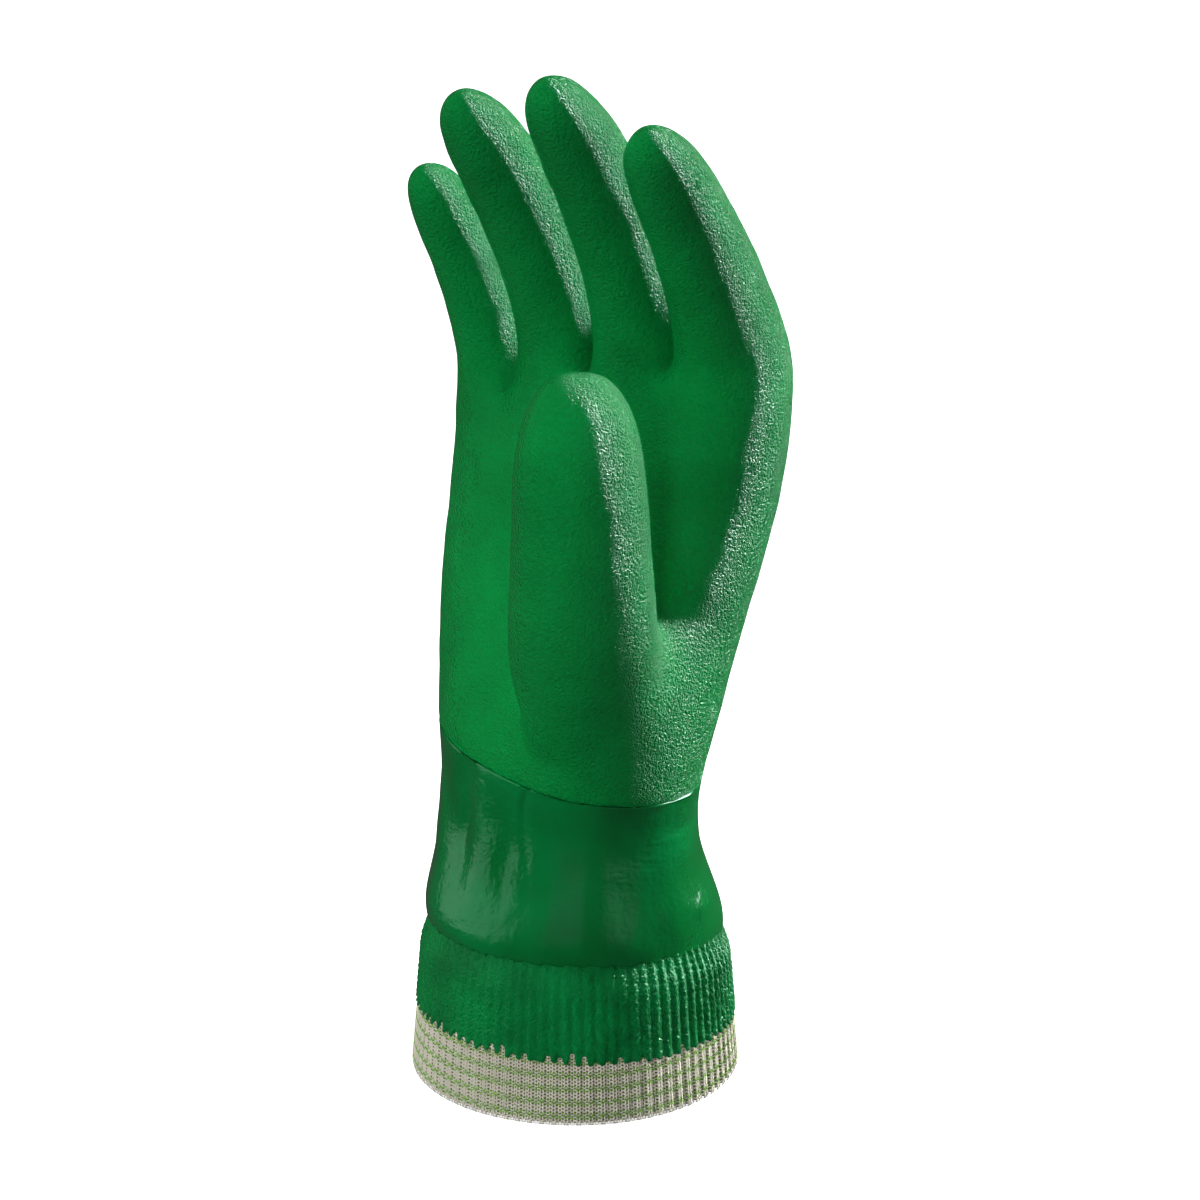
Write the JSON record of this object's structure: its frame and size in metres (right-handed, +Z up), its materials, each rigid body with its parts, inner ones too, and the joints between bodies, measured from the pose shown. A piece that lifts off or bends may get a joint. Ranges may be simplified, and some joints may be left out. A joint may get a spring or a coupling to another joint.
{
  "type": "pvc coated work glove",
  "caption": "Hollow right-hand work glove with a rough coated hand, smooth coated wrist and ribbed knit cuff, standing on its cuff.",
  "frame": {"origin": "on the surface the glove stands on, under the middle of its outline", "axes": "+Z up from the cuff to the fingers, palm towards -Y, thumb side towards +X"},
  "size_m": [0.1064, 0.0976, 0.2651],
  "materials": {
    "knit": "ribbed knit, white with pale green stripes",
    "smooth_coat": "smooth glossy soft PVC, deep green",
    "rough_coat": "fine rough PVC, satin, deep green"
  },
  "bodies": {
    "root": {"knit_cuff": "knit", "wrist_coat": "smooth_coat", "grip_coat": "rough_coat"}
  },
  "joints": []
}
